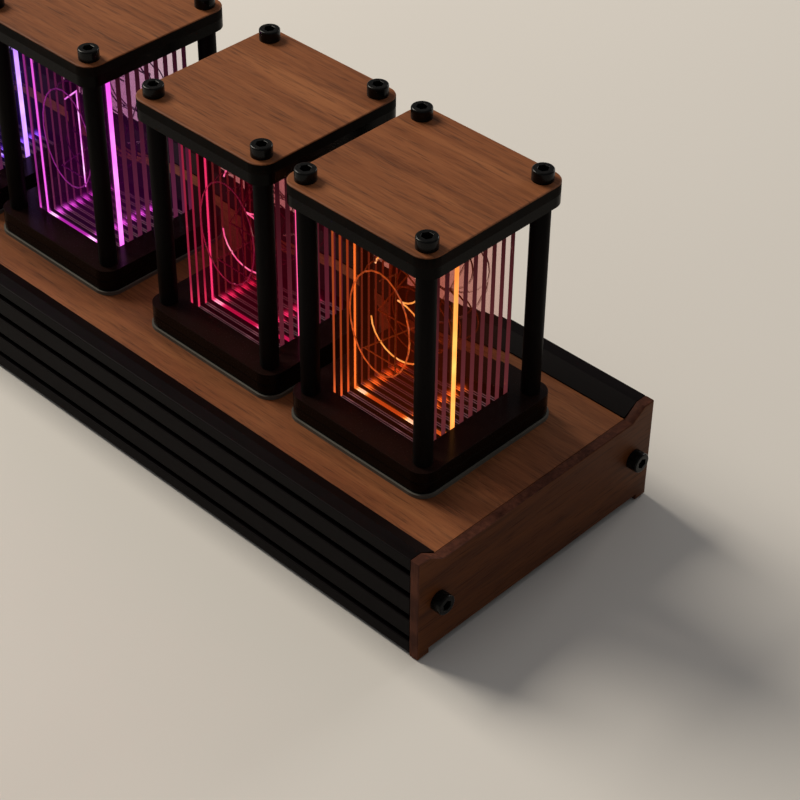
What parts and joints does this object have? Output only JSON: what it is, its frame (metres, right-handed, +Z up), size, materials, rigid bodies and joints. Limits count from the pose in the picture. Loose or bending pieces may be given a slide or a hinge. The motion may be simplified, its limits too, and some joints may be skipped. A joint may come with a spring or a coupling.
{
  "type": "desk clock",
  "caption": "Long desk clock with edge-lit digit towers of engraved clear sheets between walnut-capped plates, on a black grooved base with a walnut deck and ends.",
  "frame": {"origin": "on the table under the middle of the base", "axes": "+X along the base to the right of a reader in front, +Y to the rear, +Z up"},
  "size_m": [0.378, 0.086, 0.102],
  "materials": {
    "black_anodised": "satin black anodised",
    "walnut": "oiled, dark cut edges",
    "black_steel": "black oxide",
    "black_plastic": "matte",
    "foot_rubber": "matte",
    "circuit_board": "solder mask",
    "plated_steel": "nickel plated",
    "button_plastic": "satin",
    "gasket_rubber": "matte light grey",
    "black_acrylic": "polished",
    "clear_acrylic": "clear, polished",
    "led_resin": "gloss",
    "plug_nylon": "matte",
    "lead_jacket": "matte",
    "lit_acrylic_1": "clear, lit through its edge",
    "lit_acrylic_2": "clear, lit through its edge",
    "lit_acrylic_3": "clear, lit through its edge",
    "lit_acrylic_4": "clear, lit through its edge",
    "lit_acrylic_5": "clear, lit through its edge",
    "lit_acrylic_6": "clear, lit through its edge"
  },
  "bodies": {
    "clock": {"front_rail": "black_anodised", "rear_rail": "black_anodised", "deck_panel": "walnut", "left_end_plate": "walnut", "right_end_plate": "walnut", "end_screws": "black_steel", "bottom_cover": "black_plastic", "rubber_feet": "foot_rubber", "main_board": "circuit_board", "board_spacers": "plated_steel", "board_screws": "plated_steel", "controller_module": "plated_steel", "clock_chip": "black_plastic", "cell_holder": "black_plastic", "coin_cell": "plated_steel", "usb_socket": "plated_steel", "button_switches": "black_plastic", "tower_gaskets": "gasket_rubber", "socket_plates": "black_acrylic", "tower_posts": "black_anodised", "cap_screws": "black_steel", "mount_screws": "black_steel", "led_boards": "circuit_board", "leds": "led_resin", "lead_plugs": "plug_nylon", "ribbon_leads": "lead_jacket", "tower_1_frame": "black_acrylic", "tower_1_clear_sheets": "clear_acrylic", "tower_1_lit_sheet": "lit_acrylic_1", "tower_1_top_plate": "black_acrylic", "tower_1_cap": "walnut", "tower_2_frame": "black_acrylic", "tower_2_clear_sheets": "clear_acrylic", "tower_2_lit_sheet": "lit_acrylic_2", "tower_2_top_plate": "black_acrylic", "tower_2_cap": "walnut", "tower_3_frame": "black_acrylic", "tower_3_clear_sheets": "clear_acrylic", "tower_3_lit_sheet": "lit_acrylic_3", "tower_3_top_plate": "black_acrylic", "tower_3_cap": "walnut", "tower_4_frame": "black_acrylic", "tower_4_clear_sheets": "clear_acrylic", "tower_4_lit_sheet": "lit_acrylic_4", "tower_4_top_plate": "black_acrylic", "tower_4_cap": "walnut", "tower_5_frame": "black_acrylic", "tower_5_clear_sheets": "clear_acrylic", "tower_5_lit_sheet": "lit_acrylic_5", "tower_5_top_plate": "black_acrylic", "tower_5_cap": "walnut", "tower_6_frame": "black_acrylic", "tower_6_clear_sheets": "clear_acrylic", "tower_6_lit_sheet": "lit_acrylic_6", "tower_6_top_plate": "black_acrylic", "tower_6_cap": "walnut"},
    "set_button": {"set_button": "button_plastic"},
    "plus_button": {"plus_button": "button_plastic"},
    "minus_button": {"minus_button": "button_plastic"}
  },
  "joints": [
    {"name": "set_press", "type": "slide", "parent": "clock", "child": "set_button", "axis": [0, -1, 0], "range_m": [0, 0.0005], "stiffness_N_per_m": 2000},
    {"name": "plus_press", "type": "slide", "parent": "clock", "child": "plus_button", "axis": [0, -1, 0], "range_m": [0, 0.0005], "stiffness_N_per_m": 2000},
    {"name": "minus_press", "type": "slide", "parent": "clock", "child": "minus_button", "axis": [0, -1, 0], "range_m": [0, 0.0005], "stiffness_N_per_m": 2000}
  ]
}
